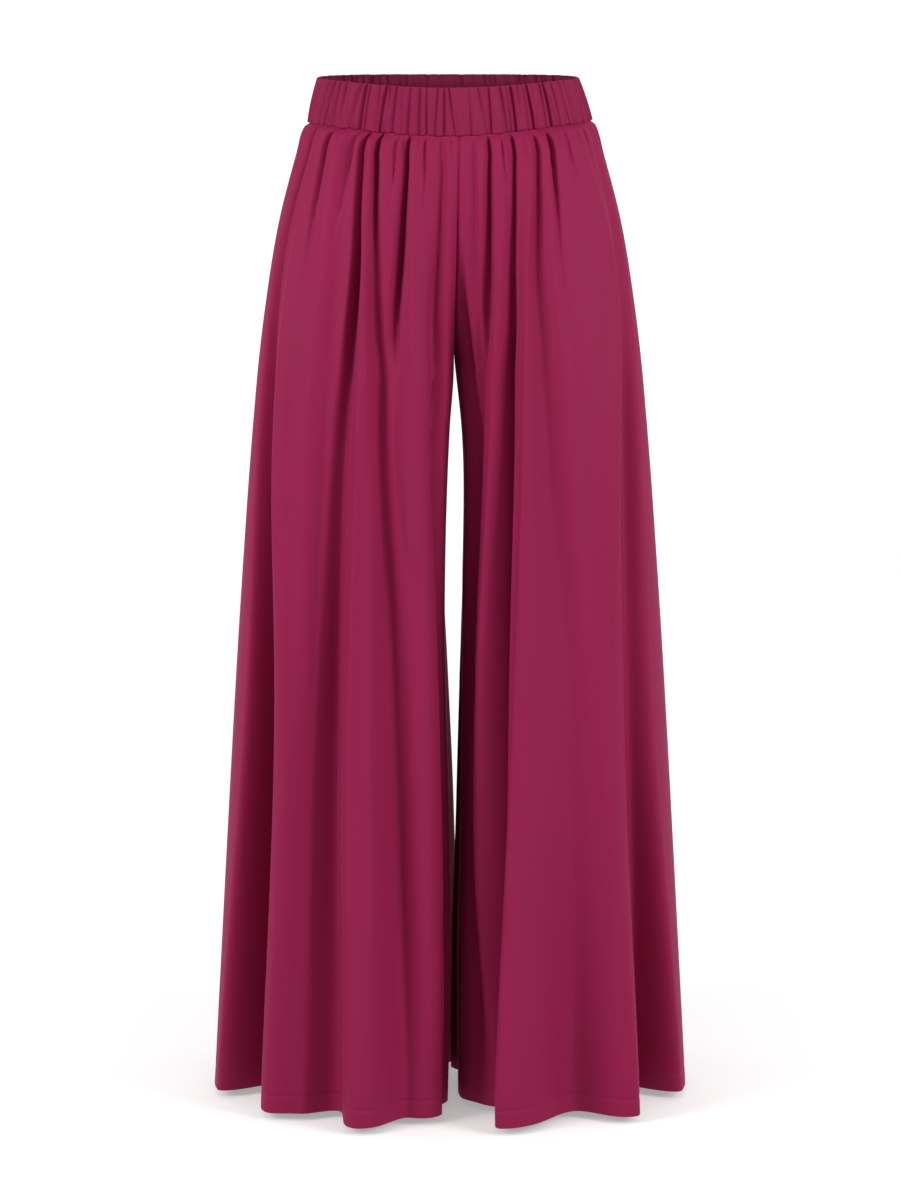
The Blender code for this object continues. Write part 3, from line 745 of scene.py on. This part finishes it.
BACK_LEFT_FOLDS = [
    Fold((42, 62, 84, 104, 92), (-3, -7, -14, -26, -42), (11, 36), (11, 38), 10),
    Fold((66, 96, 124, 148, 150), (2, 4, 7, 11, 22), (9, 28), (10, 30), 0),
    Fold((88, 122, 154, 184, 196), (-15, -18, -15, -18, -26), (6, 26), (6, 26), 0),
    Fold((110, 150, 190, 226, 244), (2, 6, 8, 14, 24), (9, 28), (8, 26), 15),
    Fold((130, 174, 218, 260, 286), (-12, -18, -18, -21, -28), (7, 26), (6, 32), 0),
    Fold((152, 198, 248, 298, 326), (1.5, 4, 6, 8, 14), (9, 28), (9, 28), 0),
    Fold((170, 222, 276, 330, 352), (-8, -10, -7, -7, -8), (6, 24), (7, 24), 0),
]
BACK_LEFT_GATHERS = [
    Gather(22, 4.0, 8, 2, 0.11),
    Gather(56, 4.0, 8, 2, 0.09),
    Gather(77, 4.5, 2.5, 6, 0.10),
    Gather(99, 4.5, 7, 2, 0.12),
    Gather(120, 4.0, 7, 2, 0.08),
    Gather(142, 4.5, 2.5, 6, 0.10),
    Gather(165, 4.0, 8, 2, 0.10),
]
FULL_FOLD_DROP = 0.007  # folds grow from the seam line to their full height over this drop
SEWN_SHARE = 0.16  # share of a fold's height that is left at the seam line
CREASED_DROP = 0.21  # hollows are sharp creases at the waist, and round ones from here down
FLAT_EDGE = 0.008  # folds flatten out over this distance from a seam

# side: +1 wearer's left, -1 right. face: -1 front, +1 back. width: widest across, flat. area: of
# the flat cut, in square metres.
Panel = namedtuple("Panel", "node side face folds gathers width area")
PANELS = [
    Panel("front_right", -1, -1, FRONT_RIGHT_FOLDS, FRONT_RIGHT_GATHERS, 0.55, 0.457),
    Panel("front_left", 1, -1, FRONT_LEFT_FOLDS, FRONT_LEFT_GATHERS, 0.55, 0.423),
    Panel("back_right", -1, 1, BACK_RIGHT_FOLDS, BACK_RIGHT_GATHERS, 0.57, 0.443),
    Panel("back_left", 1, 1, BACK_LEFT_FOLDS, BACK_LEFT_GATHERS, 0.55, 0.424),
]
TOP_WIDTH = 0.34  # of a panel's cloth, for its grain
HEM_WIDTH = 0.55


def through(stations, values, at):
    """A smooth curve through a table: cubic pieces that take their slopes from the rows beside."""
    stations = np.asarray(stations, float)
    values = np.asarray(values, float)
    slopes = np.gradient(values, stations)
    low = np.clip(np.searchsorted(stations, at, side="right") - 1, 0, len(stations) - 2)
    span = stations[low + 1] - stations[low]
    t = np.clip((at - stations[low]) / span, 0, 1)
    return (
        (1 + 2 * t) * (1 - t) ** 2 * values[low]
        + t * (1 - t) ** 2 * span * slopes[low]
        + t * t * (3 - 2 * t) * values[low + 1]
        + t * t * (t - 1) * span * slopes[low + 1]
    )


def section(column, drop):
    """One column of SECTIONS at any drop."""
    drops = [row.drop for row in SECTIONS]
    return through(drops, [getattr(row, column) for row in SECTIONS], drop)


def half_rings(side, face, drops, samples=900):
    """Points x, y round one panel's half of the leg, from the side seam to its inner edge.

    Each row is two quarters of a superellipse that meet at the leg's middle. The outer one starts
    at the side seam. Below the crotch the inner one ends at the inseam. Above it, the inner one is
    stretched and cut off so that it ends on the rise seam, which is the same for both legs. The
    third result is the depth's share at each point, 1 where the ring is deepest.
    """
    drop = drops[:, None]
    leg = "left" if side > 0 else "right"
    half_width = section("half_width", drop)
    middle = section("middle", drop)
    depth = section("front" if face < 0 else "back", drop)
    corner = section(leg + "_corner", drop)
    fallen = np.clip(drop / RISE, 0, 1)
    shift = CENTRE_SHIFT if face < 0 else 0
    rise_seam = side * (shift * (1 - fallen) + CROTCH_SHIFT * fallen)
    edge = np.where(drop < RISE, rise_seam, section(leg + "_inner", drop)) + SEAM_GAP / 2
    turn_under = FRONT_RISE_CORNER if face < 0 else BACK_RISE_CORNER
    edge_depth = np.minimum((1 - fallen**turn_under) ** (1 / turn_under), DEEPEST_CUT)
    cut = (1 - edge_depth**corner) ** (1 / corner)
    start = np.arccos(cut ** (corner / 2))
    turn = start + (np.pi - start) * np.linspace(1, 0, samples) ** 2
    inwards = np.cos(turn) > 0
    radius = np.where(inwards, (middle - edge) / cut, half_width - middle)
    power = np.where(inwards, corner, OUTER_CORNER)
    x = middle - radius * np.sign(np.cos(turn)) * np.abs(np.cos(turn)) ** (2 / power)
    out = np.abs(np.sin(turn)) ** (2 / power)
    back_set = section("side_back", drop) * ((x - edge) / (half_width - edge)) ** 2
    return side * x, face * depth * out + back_set, out


def between(wanted, measured, values):
    """Each row's values, read at the wanted places along its measured ones."""
    apart = 10.0 * np.arange(len(measured))[:, None]  # keeps the rows apart on one long line
    line = np.interp((wanted + apart).ravel(), (measured + apart).ravel(), values.ravel())
    return line.reshape(wanted.shape)


def fold_push(panel, away, drop):
    """How far the folds push each point outwards, and along the ring towards the inseam.

    A fold is a bump or a hollow, wider on one side than the other. Its line keeps to a share of the
    panel's face that changes smoothly between the stations. close is 1 on that line and 0 at the
    fold's width from it. A round fold is close squared times 3 - 2 close, and a crease is close
    squared. A gather is a hollow of close to the power of GATHER_POWER.
    """
    out = np.zeros_like(away)
    slide = np.zeros_like(away)
    hemward = drop / SIDE_LENGTH
    face = section("face", drop)
    station_face = section("face", STATIONS)
    for fold in panel.folds:
        share = np.array(fold.at) * MM / station_face
        offset = away - through(STATIONS, share, drop) * face
        outer = fold.outer[0] + (fold.outer[1] - fold.outer[0]) * hemward
        inner = fold.inner[0] + (fold.inner[1] - fold.inner[0]) * hemward
        half = np.where(offset < 0, outer, inner) * MM
        close = 1 - np.clip(np.abs(offset) / half, 0, 1)
        height = through(STATIONS, fold.height, drop)
        roundness = np.where(height < 0, ease(drop / CREASED_DROP), 1)
        bump = close**2 * (1 + 2 * (1 - close) * roundness)
        push = height * MM * bump
        out += push * np.cos(np.radians(fold.lean))
        slide += push * np.sin(np.radians(fold.lean))
    for gather in panel.gathers:
        centre = gather.at * MM * face / section("face", 0.0)
        half = np.where(away < centre, gather.outer, gather.inner) * MM
        close = 1 - np.clip(np.abs(away - centre) / half, 0, 1)
        out -= gather.depth * MM * close**GATHER_POWER * (1 - ease(drop / gather.length))
    return out, slide


def drawn_to_band(x, y, level, drop):
    """A plain ring, drawn in to the band's ellipse at the seam and unchanged from SEWN_DROP down.

    level is the share of the full depth at each point, which the dip in front follows. The last
    result is the sine of the band's angle there, which the seam's wavering follows.
    """
    sideways = x / BAND_LOW["half_width"]
    forwards = y / BAND_LOW["depth"]
    far = np.hypot(sideways, forwards)
    sewn_on = 1 - ease(drop / SEWN_DROP)
    inwards = 1 + (1 / far - 1) * sewn_on
    level = level + (np.abs(forwards) / far - level) * sewn_on
    return x * inwards, y * inwards, level, sideways / far


def panel_points(panel, samples=1300):
    """The grid of a panel's outer points: a row for each drop, from the side seam inwards.

    The folds push a fine row of samples out and in, and the cloth sinks a little at each seam and
    at the hem's line of stitches. Then the columns are read an equal length of cloth apart, so that
    a deep fold gets as many as the cloth in it needs.
    """
    x, y, out = half_rings(panel.side, panel.face, ROW_DROPS)
    travelled = along(np.stack([x, y], axis=-1), 1)
    width = travelled[:, -1:]
    drop = ROW_DROPS[:, None]
    sewn = SEAM_GAP / 2 / width
    away = width * np.linspace(sewn[:, 0], 1 - np.where(ROW_DROPS < RISE, 0, sewn[:, 0]), samples).T
    along_x = between(away, travelled, np.gradient(x, axis=1) / np.gradient(travelled, axis=1))
    along_y = between(away, travelled, np.gradient(y, axis=1) / np.gradient(travelled, axis=1))
    facing = -panel.side * panel.face
    push, slide = fold_push(panel, away, drop)
    held = SEWN_SHARE + (1 - SEWN_SHARE) * ease(drop / FULL_FOLD_DROP)
    held = held * ease(away / FLAT_EDGE) * ease((width - away) / FLAT_EDGE)
    push, slide = push * held, slide * held
    push = push - SEAM_DITCH * (1 - ease(away / SEAM_DITCH_HALF))
    inner_ditch = SEAM_DITCH * (1 - ease((width - away) / SEAM_DITCH_HALF))
    push = push - WAIST_DITCH * (1 - ease(drop / WAIST_DITCH_HALF))
    hem_line = (drop - SIDE_LENGTH + HEM_TURN) / HEM_GROOVE_HALF
    push = push - HEM_GROOVE * np.exp(-hem_line * hem_line)
    ring = [between(away, travelled, values) for values in (x, y, out)]
    ring_x, ring_y, level, round_band = drawn_to_band(*ring, drop)
    dip = (FRONT_DIP if panel.face < 0 else 0) * level**4
    wave = seam_wave(round_band) * (1 - ease(drop / SEAM_WAVE_DROP))
    points = np.stack(
        [
            ring_x + facing * -along_y * push + along_x * slide,
            ring_y + facing * along_x * (push - inner_ditch) + along_y * slide,
            SEAM_LEVEL - dip - drop * (1 - dip / SIDE_LENGTH) + wave,
        ],
        axis=-1,
    )
    cloth = along(points, 1)
    to_turn = between(section("face", drop), away, cloth)
    face_share = np.linspace(0, 1, FACE_COLUMNS + 1)
    turn_share = np.linspace(0, 1, TURN_COLUMNS + 1)[1:]
    columns = np.concatenate(
        [to_turn * face_share, to_turn + (cloth[:, -1:] - to_turn) * turn_share], axis=1
    )
    return np.stack([between(columns, cloth, points[..., axis]) for axis in range(3)], axis=-1)


def leg_panel(panel):
    """One panel: its outer points, and the inner ones a cloth's thickness in along the normals.

    At an edge that is sewn to another panel the normals keep to that edge's own side: none points
    to the front or back at the side seam and the inseam, or across at the rise seam.
    """
    outer = panel_points(panel)
    turned = panel.side * panel.face > 0
    normal = outward(outer, turned)
    normal[:, 0, 1] = 0
    normal[ROW_DROPS <= RISE, -1, 0] = 0
    normal[ROW_DROPS >= RISE, -1, 1] = 0
    doubled = ease((ROW_DROPS - SIDE_LENGTH + HEM_TURN) / HEM_STEP)
    thickness = CLOTH + (HEM_CLOTH - CLOTH) * doubled
    inner = outer - unit(normal) * thickness[:, None, None]
    drop = ROW_DROPS[:, None]
    width = TOP_WIDTH + (HEM_WIDTH - TOP_WIDTH) * (drop / SIDE_LENGTH)
    across = width * np.linspace(-0.5, 0.5, FACE_COLUMNS + TURN_COLUMNS + 1)
    flat = np.stack(np.broadcast_arrays(across, drop), axis=-1)
    finish = crepe("crepe_" + panel.node, CREPE, CREPE_DEEP)
    piece = cloth_piece("leg_" + panel.node, outer, inner, flat, turned, finish)
    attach(piece, "root")
    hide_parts(panel.node)
    return piece


for panel in PANELS:
    leg_panel(panel)
